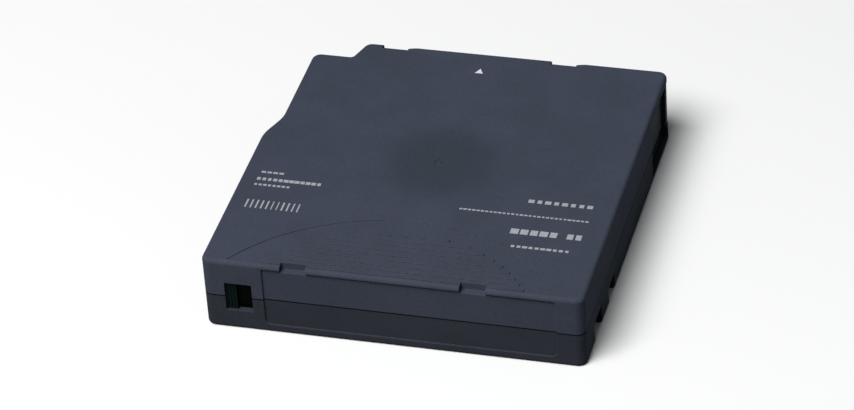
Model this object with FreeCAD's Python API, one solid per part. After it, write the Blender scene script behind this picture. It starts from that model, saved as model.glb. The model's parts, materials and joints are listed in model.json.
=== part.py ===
"""Data tape cartridge: two moulded shells round one reel of half-inch tape.

Frame: +X to the right along the label face, +Y the way the cartridge goes into
a drive, +Z up. The origin is on the reel's axis, at the underside of the case.
All lengths are millimetres.
"""
import FreeCAD, Part

import math
import os

V = FreeCAD.Vector

# --- case ---------------------------------------------------------------
CASE_WIDTH = 102.0
CASE_DEPTH = 105.4
PARTING_HEIGHT = 10.2
SIDE_WALL = 1.8
TOP_WALL = 1.6
FLOOR = 2.0
CORNER_RADIUS = 2.5
TOP_ROUND = 1.2
BASE_ROUND = 1.0
LIP_THICKNESS = 0.8
LIP_HEIGHT = 0.8
LIP_GAP = 0.1
SEAM_HEIGHT = 0.25

# left side: steps in towards the insertion end, then the guide notch
NARROWING = 3.2
NARROWING_START = 5.5
NARROWING_LENGTH = 8.5
NARROWING_BLEND = 12.0
GUIDE_DEPTH = 7.4
GUIDE_WIDTH = 11.0
GUIDE_SLANT = 2.5
GUIDE_BLEND = 1.0

# label face
LABEL_SINK = 0.5
LABEL_FROM_LEFT = 16.4
LABEL_FROM_RIGHT = 7.4
LABEL_BASE = 2.4
LABEL_TOP_EDGE = 1.3
LABEL_CORNER = 1.8
WINDOW_FROM_LEFT = 6.0
WINDOW_WIDTH = 7.4
WINDOW_BASE = 5.8
WINDOW_HEIGHT = 8.7

# pockets in the top edges, in line at both ends of the case
POCKET_CENTRES = (-26.1, 21.8)
POCKET_WIDTH = 6.9
POCKET_REACH = 2.4
POCKET_SINK = 2.0
REAR_POCKET_SINK = 1.5
POCKET_RAMP = 4.0
POCKET_BACKING = 1.2

# finger grip on the top face
GRIP_SINK = 0.3
GRIP_RADIUS = 52.0
GRIP_REACH = 25.5
RIDGE_RADIUS = 42.0
RIDGE_REACH = 20.7
RIDGE_PITCH = 2.15
RIDGE_WIDTH = 0.95
RIDGE_START = 2.0
RIDGE_SHORTEST = 6.0
GATE_RADIUS = 1.5
GATE_SINK = 0.25
GATE_NUB_RADIUS = 0.6

# notches in the sides, where a loader's picker takes hold
NOTCH_SINK = 2.2
NOTCH_WALL = 1.3
NOTCHES = ((10.7, 8.6, 6.0), (27.3, 7.0, 5.0))

# screws and their bosses: inset from the case's sides and ends
BOSS_RADIUS = 2.8
SCREW_CLEARANCE_RADIUS = 1.2
SCREW_RADIUS = 0.95
SCREW_HEAD_RADIUS = 1.9
SCREW_HEAD_HEIGHT = 1.2
SCREW_HEAD_SINK = 0.8
HEAD_CLEARANCE = 0.4
SCREW_BITE = 5.0
DRIVE_RECESS_WIDTH = 0.5
DRIVE_RECESS_LENGTH = 2.2
DRIVE_RECESS_DEPTH = 0.6
LABEL_BOSS_INSET = (9.0, 12.7)
DOOR_BOSS_INSET = (15.0, 6.4)
GUIDE_BOSS_INSET = (10.0, 14.7)

# locating holes in the base, near the insertion end
LOCATE_RADIUS = 2.0
LOCATE_DEPTH = 5.0
LOCATE_WALL = 1.2
LOCATE_INSET_Y = 6.7
LOCATE_HOLE_X = -30.5
LOCATE_SLOT_X = 26.8
LOCATE_SLOT_LENGTH = 5.2

# reel
FLANGE_SIDE_GAP = 1.0
WELL_GAP = 0.5
WELL_WALL = 1.2
SPINDLE_OPENING_RADIUS = 18.0
SEAT_RIM_WIDTH = 1.6
SEAT_RIM_HEIGHT = 0.75
REEL_SEAT_GAP = 0.25
REEL_TOP_GAP = 1.45
FLANGE_THICKNESS = 1.3
UPPER_FLANGE_THICKNESS = 1.2
FLANGE_TAPER = 0.2
TAPE_WIDTH = 12.65
TAPE_SIDE_GAP = 0.15
TAPE_MARGIN = 2.0
HUB_RADIUS = 22.0
HUB_WALL = 2.5
HUB_FLOOR = 2.0
HUB_SPIGOT_WALL = 1.3
HUB_SPIGOT_HEIGHT = 0.9
FIT_GAP = 0.05

# face gears: the drive's on the reel's underside, the brake's inside the hub
GEAR_TEETH = 60
TOOTH_HEIGHT = 1.0
TOOTH_ROOT_HALF = 0.58
TOOTH_TIP_HALF = 0.18
TOOTH_TIP_GAP = 0.15
DRIVE_GEAR_INNER = 12.4
DRIVE_GEAR_OUTER = 16.8
DRIVE_GEAR_DROP = 1.4
BRAKE_GEAR_INNER = 16.6
BRAKE_GEAR_OUTER = 18.6
BRAKE_GEAR_RISE = 1.4

# steel plate that a drive's magnet holds
PLATE_OUTER = 11.9
PLATE_BORE = 4.0
PLATE_THICKNESS = 1.1
PLATE_SPIGOT_DROP = 0.8

# brake and its release
BRAKE_WEB = 1.7
BRAKE_HUB_RADIUS = 7.2
BRAKE_HUB_HEIGHT = 4.8
BRAKE_PAD_RADIUS = 2.6
BRAKE_PAD_DROP = 0.3
BRAKE_LIFT = 1.3
KEY_HALF_LENGTH = 6.0
KEY_THICKNESS = 1.2
KEY_CLEARANCE = 0.15
KEY_FLOOR_GAP = 0.7
RELEASE_FLOOR_GAP = 0.25
RELEASE_THICKNESS = 1.35
RELEASE_HUB_RADIUS = 6.0
RELEASE_DOME = 0.4
RELEASE_LEGS = 3
LEG_CENTRE = 14.6
LEG_WIDTH = 2.2
LEG_CLEARANCE = 0.2
LEG_TIP_SINK = 0.7
BRAKE_SPRING_RADIUS = 9.2
BRAKE_SPRING_WIRE = 0.4
BRAKE_SPRING_COILS = 4
SPRING_COLLAR_WALL = 1.0
SPRING_COLLAR_DROP = 1.2

# door, its channel along the right side, and the opening it closes
DOOR_THICKNESS = 1.5
DOOR_SIDE_GAP = 0.15
DOOR_END_GAP = 0.2
DOOR_TOP_GAP = 0.2
DOOR_LENGTH = 21.2
DOOR_TRAVEL = 18.0
DOOR_WALL = 1.3
DOOR_OVERLAP = 0.9
DOOR_SKIRT_HEIGHT = 3.4
DOOR_SKIRT_SET_BACK = 0.8
DOOR_NOSE_LENGTH = 1.9
DOOR_NOSE_END_GAP = 0.4
DOOR_NOSE_REACH = 1.25
DOOR_SILL_HEIGHT = 0.8
DOOR_HEADER = 2.1
CORNER_POST_HEIGHT = 5.5
RAIL_THICKNESS = 1.2
RAIL_HEIGHT = 1.6
DOOR_SPRING_RADIUS = 0.46
DOOR_SPRING_WIRE = 0.11
DOOR_SPRING_COILS = 22
DOOR_SPRING_LENGTH = 34.0
DOOR_SPRING_HEIGHT = 7.4
SPRING_STOP_LENGTH = 1.6
SPRING_STOP_HEIGHT = 2.6

# leader pin, the clamp that holds the tape on it, and its springs
PIN_INSET_X = 7.0
PIN_INSET_Y = 8.7
PIN_BODY_RADIUS = 1.25
PIN_COLLAR_RADIUS = 2.2
PIN_NECK_RADIUS = 1.2
PIN_COLLAR_HEIGHT = 0.6
PIN_NECK_HEIGHT = 0.8
PIN_HEAD_HEIGHT = 0.75
PIN_POCKET_WALL = 1.1
PIN_POCKET_GAP = 0.25
PIN_POCKET_HEIGHT = 1.0
CLAMP_WALL = 0.55
CLAMP_GAP = 0.04
CLAMP_END_GAP = 0.3
LEADER_THICKNESS = 0.14
LEADER_PACK_GAP = 0.3
PIN_SPRING_THICKNESS = 0.25
PIN_SPRING_HEIGHT = 0.6
PIN_SPRING_ARM = 9.0
PIN_SPRING_POST_RADIUS = 1.1

# write-protect slider
SLIDER_TRAVEL = 4.2
KNOB_WIDTH = 2.9
KNOB_GAP = 0.15
KNOB_SET_BACK = 0.7
SLIDER_PLATE_THICKNESS = 1.2
SLIDER_PLATE_LEFT = 3.6
SLIDER_PLATE_LAP = 0.8
SLIDER_PLATE_MARGIN = 1.4
SLIDER_WALL_GAP = 0.15
SLIDER_FLOOR_GAP = 0.15
SLIDER_FOOT_REACH = 6.0
SLIDER_FOOT_THICKNESS = 1.1
SLIDER_RIB_COUNT = 3
SLIDER_RIB_DEPTH = 0.3
SENSE_HOLE_WIDTH = 3.2
SENSE_HOLE_DEPTH = 3.0
SLIDER_RAIL_THICKNESS = 1.0
SLIDER_RAIL_HEIGHT = 3.2

# cartridge memory: a small board leaning at 45 degrees in the label corner
BOARD_LENGTH = 18.8
BOARD_WIDTH = 9.0
BOARD_THICKNESS = 0.8
BOARD_WELL_GAP = 0.6
BOARD_GAP = 0.1
CHIP_LENGTH = 5.0
CHIP_WIDTH = 4.2
CHIP_THICKNESS = 0.6
CRADLE_THICKNESS = 1.2
CRADLE_COUNT = 3

# coil springs: flats round the wire, and steps in a turn
COIL_SIDES = 6
COIL_STEPS = 16

# --- places that follow from the sizes above ----------------------------
LEFT = -CASE_WIDTH / 2
RIGHT = CASE_WIDTH / 2
LABEL_END = -CASE_DEPTH / 2
INSERT_END = CASE_DEPTH / 2
FAR = 2 * CASE_DEPTH

FLANGE_RADIUS = min(CASE_WIDTH, CASE_DEPTH) / 2 - SIDE_WALL - FLANGE_SIDE_GAP
WELL_RADIUS = FLANGE_RADIUS + WELL_GAP
PACK_RADIUS = FLANGE_RADIUS - TAPE_MARGIN
REEL_BASE = FLOOR + SEAT_RIM_HEIGHT + REEL_SEAT_GAP
TAPE_BASE = REEL_BASE + FLANGE_THICKNESS + TAPE_SIDE_GAP
TAPE_TOP = TAPE_BASE + TAPE_WIDTH
UPPER_FLANGE_BASE = TAPE_TOP + TAPE_SIDE_GAP
CEILING = UPPER_FLANGE_BASE + UPPER_FLANGE_THICKNESS + REEL_TOP_GAP
CASE_HEIGHT = CEILING + TOP_WALL
HUB_INNER = HUB_RADIUS - HUB_WALL
HUB_FLOOR_TOP = REEL_BASE + HUB_FLOOR

DOOR_WALL_INNER = RIGHT - DOOR_WALL
DOOR_OUTER = DOOR_WALL_INNER - DOOR_SIDE_GAP
DOOR_INNER = DOOR_OUTER - DOOR_THICKNESS
CHANNEL_INNER = DOOR_INNER - DOOR_SIDE_GAP
DOOR_FRONT = INSERT_END - SIDE_WALL - DOOR_END_GAP
DOOR_REAR = DOOR_FRONT - DOOR_LENGTH
OPENING_REAR = DOOR_REAR + DOOR_OVERLAP
OPENING_TOP = CASE_HEIGHT - DOOR_HEADER
DOOR_BASE = FLOOR + DOOR_TOP_GAP
DOOR_TOP = CEILING - DOOR_TOP_GAP
SPRING_SEAT = DOOR_REAR - DOOR_SPRING_LENGTH
SPRING_X = (DOOR_WALL_INNER + CHANNEL_INNER) / 2 + (CHANNEL_INNER - DOOR_INNER) / 2

BRAKE_TOOTH_TIP = HUB_FLOOR_TOP + BRAKE_GEAR_RISE + TOOTH_TIP_GAP
BRAKE_WEB_BASE = BRAKE_TOOTH_TIP + TOOTH_HEIGHT
BRAKE_WEB_TOP = BRAKE_WEB_BASE + BRAKE_WEB
KEY_BASE = BRAKE_WEB_TOP + BRAKE_LIFT + KEY_FLOOR_GAP

PIN_X = RIGHT - PIN_INSET_X
PIN_Y = INSERT_END - PIN_INSET_Y
PIN_BODY_BASE = TAPE_BASE - CLAMP_GAP
PIN_BODY_TOP = TAPE_TOP + CLAMP_GAP
PIN_BASE = PIN_BODY_BASE - PIN_COLLAR_HEIGHT - PIN_NECK_HEIGHT - PIN_HEAD_HEIGHT
PIN_TOP = PIN_BODY_TOP + PIN_COLLAR_HEIGHT + PIN_NECK_HEIGHT + PIN_HEAD_HEIGHT

PIN_SPRING_LOOP = PIN_SPRING_POST_RADIUS + CLAMP_GAP + PIN_SPRING_THICKNESS
PIN_SPRING_REACH = PIN_NECK_RADIUS + CLAMP_GAP

WINDOW_LEFT = LEFT + WINDOW_FROM_LEFT
WINDOW_RIGHT = WINDOW_LEFT + WINDOW_WIDTH
WINDOW_TOP = WINDOW_BASE + WINDOW_HEIGHT
SLIDER_FRONT = LABEL_END + SIDE_WALL + SLIDER_WALL_GAP
SLIDER_BACK = SLIDER_FRONT + SLIDER_PLATE_THICKNESS
KNOB_LEFT = WINDOW_LEFT + KNOB_GAP
KNOB_RIGHT = KNOB_LEFT + KNOB_WIDTH
PLATE_LEFT = WINDOW_LEFT - SLIDER_PLATE_LEFT
PLATE_RIGHT = WINDOW_RIGHT + SLIDER_PLATE_LAP

SCREW_POINTS = (
    (LEFT + LABEL_BOSS_INSET[0], LABEL_END + LABEL_BOSS_INSET[1]),
    (RIGHT - LABEL_BOSS_INSET[0], LABEL_END + LABEL_BOSS_INSET[1]),
    (RIGHT - DOOR_BOSS_INSET[0], INSERT_END - DOOR_BOSS_INSET[1]),
    (LEFT + GUIDE_BOSS_INSET[0], INSERT_END - GUIDE_BOSS_INSET[1]),
)
LOCATE_Y = INSERT_END - LOCATE_INSET_Y


# --- small tools ---------------------------------------------------------
def block(x, y, z):
    """A box between pairs of limits on each axis."""
    size = [max(pair) - min(pair) for pair in (x, y, z)]
    return Part.makeBox(*size, V(min(x), min(y), min(z)))


def drum(radius, z, at=(0.0, 0.0)):
    """A cylinder along Z between two heights."""
    return Part.makeCylinder(radius, z[1] - z[0], V(at[0], at[1], z[0]))


def tube(inner, outer, z, at=(0.0, 0.0)):
    """A ring along Z between two heights."""
    return drum(outer, z, at).cut(drum(inner, z, at))


def fuse(shapes):
    """One solid from shapes that touch or overlap."""
    shapes = list(shapes)
    if len(shapes) == 1:
        return shapes[0]
    return shapes[0].fuse(shapes[1:]).removeSplitter()


def turned(profile):
    """A solid of revolution about Z from (radius, height) points."""
    points = [V(r, 0, z) for r, z in profile]
    wire = Part.makePolygon(points + points[:1])
    return Part.Face(wire).revolve(V(0, 0, 0), V(0, 0, 1), 360)


def moved(shape, x=0.0, y=0.0, z=0.0):
    """A copy of the shape, shifted."""
    copy = shape.copy()
    copy.translate(V(x, y, z))
    return copy


def turned_about_z(shape, degrees, at=(0.0, 0.0)):
    """A copy of the shape, turned about a vertical line."""
    copy = shape.copy()
    copy.rotate(V(at[0], at[1], 0), V(0, 0, 1), degrees)
    return copy


def ring_of(shape, count):
    """Copies of the shape, evenly spaced about the reel's axis."""
    return [turned_about_z(shape, 360.0 * i / count) for i in range(count)]


def rounded_wire(corners, z):
    """A closed wire through (x, y, radius) corners, each rounded by a tangent arc."""
    edges = []
    joints = []
    count = len(corners)
    for i in range(count):
        x, y, radius = corners[i]
        here = V(x, y, z)
        back = V(corners[i - 1][0], corners[i - 1][1], z) - here
        ahead = V(corners[(i + 1) % count][0], corners[(i + 1) % count][1], z) - here
        back.normalize()
        ahead.normalize()
        half = back.getAngle(ahead) / 2
        run = radius / math.tan(half)
        start = here + back * run
        end = here + ahead * run
        bisector = back + ahead
        bisector.normalize()
        middle = here + bisector * (radius / math.sin(half) - radius)
        joints.append((start, middle, end))
    for i in range(count):
        start, middle, end = joints[i]
        edges.append(Part.Arc(start, middle, end).toShape())
        edges.append(Part.makeLine(end, joints[(i + 1) % count][0]))
    return Part.Wire(edges)


def inset_corners(corners, inset):
    """The same counter-clockwise corners, with every side moved inwards."""
    count = len(corners)
    lines = []
    for i in range(count):
        a = V(corners[i][0], corners[i][1], 0)
        b = V(corners[(i + 1) % count][0], corners[(i + 1) % count][1], 0)
        along = b - a
        along.normalize()
        inwards = V(-along.y, along.x, 0)
        lines.append((a + inwards * inset, along))
    result = []
    for i in range(count):
        p, u = lines[i - 1]
        q, v = lines[i]
        turn = u.x * v.y - u.y * v.x
        step = ((q.x - p.x) * v.y - (q.y - p.y) * v.x) / turn
        corner = p + u * step
        grow = -inset if turn > 0 else inset
        result.append((corner.x, corner.y, max(corners[i][2] + grow, FIT_GAP)))
    return result


def slab(corners, z):
    """A plate with rounded corners between two heights."""
    return Part.Face(rounded_wire(corners, z[0])).extrude(V(0, 0, z[1] - z[0]))


def coil(radius, wire, coils, length):
    """A compression spring along +Z from the origin, with one closed turn at each end."""
    sections = []
    for i in range(COIL_STEPS * (coils + 2) + 1):
        turn = i / COIL_STEPS
        z = wire + 2 * wire * min(turn, 1.0)
        z += (length - 6 * wire) * min(max(turn - 1.0, 0.0) / coils, 1.0)
        z += 2 * wire * max(turn - 1.0 - coils, 0.0)
        sections.append(coil_section(radius, wire, 2 * math.pi * turn, z))
    return Part.makeLoft(sections, True, True)


def coil_section(radius, wire, angle, z):
    """The wire's cross-section, upright on the spring's axis, at one angle and height."""
    around = V(math.cos(angle), math.sin(angle), 0)
    points = []
    for i in range(COIL_SIDES):
        turn = 2 * math.pi * i / COIL_SIDES
        points.append(around * (radius + wire * math.cos(turn)) + V(0, 0, z + wire * math.sin(turn)))
    return Part.makePolygon(points + points[:1])


# --- case ------------------------------------------------------------------
def case_corners(inset=0.0):
    """The case's outline, counter-clockwise from the label end's left corner."""
    narrow = LEFT + NARROWING
    notch = INSERT_END - GUIDE_DEPTH
    corners = [
        (LEFT, LABEL_END, CORNER_RADIUS),
        (RIGHT, LABEL_END, CORNER_RADIUS),
        (RIGHT, INSERT_END, CORNER_RADIUS),
        (narrow + GUIDE_WIDTH + GUIDE_SLANT, INSERT_END, CORNER_RADIUS),
        (narrow + GUIDE_WIDTH, notch, GUIDE_BLEND),
        (narrow, notch, CORNER_RADIUS),
        (narrow, NARROWING_START + NARROWING_LENGTH, NARROWING_BLEND),
        (LEFT, NARROWING_START, NARROWING_BLEND),
    ]
    return inset_corners(corners, inset) if inset else corners


def edges_at(shape, z):
    """The edges that lie at one height."""
    return [e for e in shape.Edges if max(abs(v.Z - z) for v in e.Vertexes) < 1e-6
            and abs(e.CenterOfMass.z - z) < 1e-6]


def case_blank():
    """The closed outer form, rounded along its top and bottom edges."""
    blank = slab(case_corners(), (0, CASE_HEIGHT))
    blank = blank.makeFillet(min(TOP_ROUND, 0.9 * CORNER_RADIUS), edges_at(blank, CASE_HEIGHT))
    return blank.makeFillet(min(BASE_ROUND, 0.9 * CORNER_RADIUS), edges_at(blank, 0))


def case_cavity(z):
    """The space inside the walls, widened where the reel turns."""
    return slab(case_corners(SIDE_WALL), z).fuse(drum(WELL_RADIUS, z))


def reel_well_wall(z):
    """The round partition that keeps dust off the reel."""
    return tube(WELL_RADIUS, WELL_RADIUS + WELL_WALL, z)


def tape_exit(z):
    """The gap in the partition where the tape runs out to its pin."""
    return block((PACK_RADIUS / 2, FAR), (NARROWING_START, FAR), z)


def door_channel(z):
    """The straight slot along the right side that the door and its spring use."""
    return block((CHANNEL_INNER, DOOR_WALL_INNER), (SPRING_SEAT, INSERT_END - SIDE_WALL), z)


def door_opening():
    """The way out for the leader pin: side opening, shadow gap and corner."""
    x = (DOOR_WALL_INNER, FAR)
    side = block(x, (OPENING_REAR, INSERT_END - SIDE_WALL), (FLOOR, OPENING_TOP))
    corner = block(x, (INSERT_END - SIDE_WALL, FAR), (CORNER_POST_HEIGHT, OPENING_TOP))
    sill_x = (DOOR_WALL_INNER - DOOR_SKIRT_SET_BACK, FAR)
    sill = block(sill_x, (OPENING_REAR, INSERT_END - SIDE_WALL), (DOOR_SILL_HEIGHT, FLOOR))
    return [side, corner, sill]


def lip_band(thickness, z):
    """A band along the inner face of the walls, left out beside the door."""
    outer = slab(case_corners(SIDE_WALL - thickness), z)
    band = outer.cut(case_cavity(z))
    gap = block((CHANNEL_INNER - RAIL_THICKNESS, FAR), (SPRING_SEAT - SIDE_WALL, FAR), z)
    window = block((PLATE_LEFT - LIP_GAP, PLATE_RIGHT + SLIDER_TRAVEL + LIP_GAP), (-FAR, LABEL_END / 2), z)
    return band.cut([gap, window])


def seam():
    """The shadow line between the halves: the cover's outer face stops short of the base."""
    z = (PARTING_HEIGHT, PARTING_HEIGHT + SEAM_HEIGHT)
    kept = slab(case_corners(SIDE_WALL - LIP_THICKNESS - LIP_GAP), z)
    return block((-FAR, FAR), (-FAR, FAR), z).cut(kept)


def label_recess():
    """The shallow field for a label, open towards the top edge."""
    left = LEFT + LABEL_FROM_LEFT
    right = RIGHT - LABEL_FROM_RIGHT
    top = CASE_HEIGHT - LABEL_TOP_EDGE
    corners = [
        (left, LABEL_BASE, LABEL_CORNER),
        (right, LABEL_BASE, LABEL_CORNER),
        (right, top, LABEL_CORNER / 3),
        (left, top, LABEL_CORNER / 3),
    ]
    plate = slab(corners, (0, 2 * LABEL_SINK))
    plate.rotate(V(0, 0, 0), V(1, 0, 0), 90)
    return moved(plate, y=LABEL_END + LABEL_SINK)


def window_opening():
    """The window that the write-protect knob shows in."""
    return block((WINDOW_LEFT, WINDOW_RIGHT), (-FAR, LABEL_END + SIDE_WALL), (WINDOW_BASE, WINDOW_TOP))


def edge_pocket(centre, sign, sink):
    """One pocket in a top edge; sign -1 is the label end, +1 the insertion end."""
    x = (centre - POCKET_WIDTH / 2, centre + POCKET_WIDTH / 2)
    end = sign * CASE_DEPTH / 2
    return block(x, (end - sign * POCKET_REACH, end + sign * POCKET_REACH), (CASE_HEIGHT - sink, FAR))


def pocket_ramp(centre):
    """The slope beside a pocket at the insertion end."""
    x = centre + POCKET_WIDTH / 2
    low = CASE_HEIGHT - REAR_POCKET_SINK
    points = [V(x - POCKET_RAMP / 2, 0, low), V(x + POCKET_RAMP, 0, CASE_HEIGHT),
              V(x + POCKET_RAMP, 0, FAR), V(x - POCKET_RAMP / 2, 0, FAR)]
    face = Part.Face(Part.makePolygon(points + points[:1]))
    return moved(face.extrude(V(0, 2 * POCKET_REACH, 0)), y=INSERT_END - POCKET_REACH)


def pocket_backing(centre, sign, sink):
    """Wall behind an edge pocket, so that it stays closed."""
    half = POCKET_WIDTH / 2 + POCKET_BACKING
    end = sign * (CASE_DEPTH / 2 - SIDE_WALL)
    z = (CASE_HEIGHT - sink - POCKET_BACKING, CEILING)
    return block((centre - half, centre + half), (end, end - sign * POCKET_REACH), z)


def grip_area():
    """The sunk grip field, less the ridges left standing in it."""
    z = (CASE_HEIGHT - GRIP_SINK, CASE_HEIGHT + GRIP_SINK)
    apex = LABEL_END + GRIP_REACH
    field = drum(GRIP_RADIUS, z, (0, apex - GRIP_RADIUS))
    field = field.common(block((-FAR, FAR), (LABEL_END + TOP_ROUND, FAR), z))
    centre = LABEL_END + RIDGE_REACH - RIDGE_RADIUS
    ridges = []
    y = LABEL_END + RIDGE_START
    while y < LABEL_END + RIDGE_REACH:
        half = math.sqrt(RIDGE_RADIUS ** 2 - (y - centre) ** 2)
        if half > RIDGE_SHORTEST:
            ridges.append(block((-half, half), (y - RIDGE_WIDTH / 2, y + RIDGE_WIDTH / 2), z))
        y += RIDGE_PITCH
    return field.cut(ridges)


def gate_mark():
    """The moulding gate's shallow dish at the centre of the top face."""
    z = (CASE_HEIGHT - GATE_SINK, CASE_HEIGHT + GATE_SINK)
    nub = drum(GATE_NUB_RADIUS, (CASE_HEIGHT - GATE_SINK, CASE_HEIGHT - GATE_SINK / 3))
    return drum(GATE_RADIUS, z).cut(nub)


def side_notches(extra=0.0):
    """The picker notches in both sides, or the walls behind them."""
    shapes = []
    for from_label, length, height in NOTCHES:
        y = (LABEL_END + from_label - extra, LABEL_END + from_label + length + extra)
        for sign in (-1, 1):
            face = sign * (CASE_WIDTH / 2 + (NOTCH_SINK if not extra else -SIDE_WALL / 2))
            back = sign * (CASE_WIDTH / 2 - NOTCH_SINK - extra)
            base = -FLOOR if not extra else FLOOR / 2
            shapes.append(block((back, face), y, (base, height + extra)))
    return shapes


def slot_drum(radius, length, z, at):
    """A round-ended slot along X."""
    half = length / 2 - radius
    ends = [drum(radius, z, (at[0] + side * half, at[1])) for side in (-1, 1)]
    middle = block((at[0] - half, at[0] + half), (at[1] - radius, at[1] + radius), z)
    return fuse([middle] + ends)


def locating_holes(wall=0.0):
    """The round hole and the slot in the base, or the sockets round them."""
    z = (FLOOR / 2, LOCATE_DEPTH + wall) if wall else (-FLOOR, LOCATE_DEPTH)
    hole = drum(LOCATE_RADIUS + wall, z, (LOCATE_HOLE_X, LOCATE_Y))
    slot = slot_drum(LOCATE_RADIUS + wall, LOCATE_SLOT_LENGTH + 2 * wall, z, (LOCATE_SLOT_X, LOCATE_Y))
    return [hole, slot]


def rails(z):
    """Two ribs that hold the door against the side wall; the rear one is as long as its travel."""
    x = (CHANNEL_INNER - RAIL_THICKNESS, CHANNEL_INNER)
    rear = block(x, (OPENING_REAR + RAIL_THICKNESS - DOOR_TRAVEL, OPENING_REAR + RAIL_THICKNESS), z)
    front = block(x, (PIN_Y + PIN_COLLAR_RADIUS + PIN_POCKET_WALL, INSERT_END - SIDE_WALL), z)
    return [rear, front]


def pin_pocket(z):
    """A horseshoe that holds one end of the leader pin, open to the side."""
    inner = PIN_COLLAR_RADIUS + PIN_POCKET_GAP
    ring = tube(inner, inner + PIN_POCKET_WALL, z, (PIN_X, PIN_Y))
    return ring.cut(block((PIN_X, FAR), (PIN_Y - inner, PIN_Y + inner), z))


def pin_spring_post(z):
    """The post that one end of a pin spring is coiled on."""
    return drum(PIN_SPRING_POST_RADIUS, z, pin_spring_anchor())


def pin_spring_anchor():
    """Where a pin spring is held: inwards of the pin, on its label side."""
    return (PIN_X - PIN_SPRING_ARM, PIN_Y - PIN_SPRING_REACH - PIN_SPRING_LOOP)


def slider_rail(left, z):
    """A rib behind the write-protect slider, from a left end to just past its plate."""
    back = SLIDER_BACK + SLIDER_WALL_GAP
    return block((left, PLATE_RIGHT + SLIDER_RAIL_THICKNESS), (back, back + SLIDER_RAIL_THICKNESS), z)


def foot_clear():
    """The left end of a rail that the slider's foot never reaches."""
    return PLATE_LEFT + 2 * SLIDER_TRAVEL + SLIDER_WALL_GAP


def sense_hole_x():
    """The sense hole's span along X: just past the slider's foot at rest."""
    left = PLATE_LEFT + SLIDER_TRAVEL + KNOB_GAP
    return (left, left + SENSE_HOLE_WIDTH)


def board_place(shape):
    """Lay a shape made flat on the memory board's underside into its corner."""
    placed = shape.copy()
    placed.rotate(V(0, 0, 0), V(1, 0, 0), -45)
    low_y = LABEL_END + SIDE_WALL + BOARD_GAP + BOARD_WIDTH * math.sqrt(0.5)
    low_z = FLOOR + BOARD_GAP
    placed.translate(V(board_left(), low_y, low_z))
    return placed


def board_left():
    """Where the memory board starts along X: just clear of the reel's partition."""
    reach = CASE_DEPTH / 2 - SIDE_WALL - BOARD_GAP - BOARD_WIDTH * math.sqrt(0.5)
    clear = WELL_RADIUS + WELL_WALL + BOARD_WELL_GAP
    return math.sqrt(max(clear ** 2 - reach ** 2, 0))


def board_cradles():
    """Wedge ribs across the corner, which the memory board leans on."""
    run = BOARD_WIDTH * math.sqrt(0.5)
    corner_y = LABEL_END + SIDE_WALL
    ribs = []
    for i in range(CRADLE_COUNT):
        step = (BOARD_LENGTH - 2 * BOARD_GAP - CRADLE_THICKNESS) / (CRADLE_COUNT - 1)
        x = board_left() + BOARD_GAP + i * step
        points = [V(x, corner_y - SIDE_WALL / 2, FLOOR / 2), V(x, corner_y + run, FLOOR / 2),
                  V(x, corner_y + run, FLOOR), V(x, corner_y, FLOOR + run),
                  V(x, corner_y - SIDE_WALL / 2, FLOOR + run)]
        face = Part.Face(Part.makePolygon(points + points[:1]))
        ribs.append(face.extrude(V(CRADLE_THICKNESS, 0, 0)))
    return ribs


def lower_shell():
    """The base half: floor, walls, reel seat, rails, sockets and bosses."""
    z = (FLOOR, PARTING_HEIGHT)
    low = case_blank().common(block((-FAR, FAR), (-FAR, FAR), (-1, PARTING_HEIGHT)))
    cavity = case_cavity((FLOOR, PARTING_HEIGHT + 1))
    well_wall = reel_well_wall(z).cut(tape_exit(z))
    ribs = [well_wall] + side_notches(NOTCH_WALL) + locating_holes(LOCATE_WALL)
    ribs += [drum(BOSS_RADIUS, z, point) for point in SCREW_POINTS]
    ribs += rails((FLOOR, FLOOR + RAIL_HEIGHT))
    ribs += [pin_pocket((FLOOR, FLOOR + PIN_POCKET_HEIGHT))]
    ribs += [pin_spring_post((FLOOR, PIN_BODY_BASE))]
    ribs.append(slider_rail(foot_clear(), (FLOOR, FLOOR + SLIDER_RAIL_HEIGHT)))
    ribs += board_cradles()
    inside = slab(case_corners(SIDE_WALL / 2), (FLOOR / 2, PARTING_HEIGHT))
    ribs = [rib.common(inside) for rib in ribs]
    shell = fuse([low.cut(cavity)] + ribs)
    shell = shell.cut([drum(WELL_RADIUS, z), door_channel(z)])
    seat = tube(SPINDLE_OPENING_RADIUS, SPINDLE_OPENING_RADIUS + SEAT_RIM_WIDTH,
                (FLOOR / 2, FLOOR + SEAT_RIM_HEIGHT))
    stop = block((CHANNEL_INNER - FIT_GAP, DOOR_WALL_INNER + DOOR_WALL / 2),
                 (SPRING_SEAT - SPRING_STOP_LENGTH, SPRING_SEAT),
                 (DOOR_SPRING_HEIGHT - SPRING_STOP_HEIGHT / 2, PARTING_HEIGHT))
    stop = stop.cut(drum(WELL_RADIUS, z))
    lip = lip_band(LIP_THICKNESS, (PARTING_HEIGHT - 1, PARTING_HEIGHT + LIP_HEIGHT))
    shell = fuse([shell, seat, stop, lip])
    cuts = [drum(SPINDLE_OPENING_RADIUS, (-1, PARTING_HEIGHT)), window_opening(), label_recess()]
    cuts += door_opening() + side_notches() + locating_holes()
    cuts.append(block(sense_hole_x(), (SLIDER_BACK + LIP_GAP, SLIDER_BACK + LIP_GAP + SENSE_HOLE_DEPTH),
                      (-1, FLOOR + 1)))
    for point in SCREW_POINTS:
        cuts.append(drum(SCREW_CLEARANCE_RADIUS, (-1, PARTING_HEIGHT + 1), point))
        cuts.append(drum(SCREW_HEAD_RADIUS + HEAD_CLEARANCE,
                         (-1, SCREW_HEAD_SINK + SCREW_HEAD_HEIGHT), point))
    return shell.cut(cuts)


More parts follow.
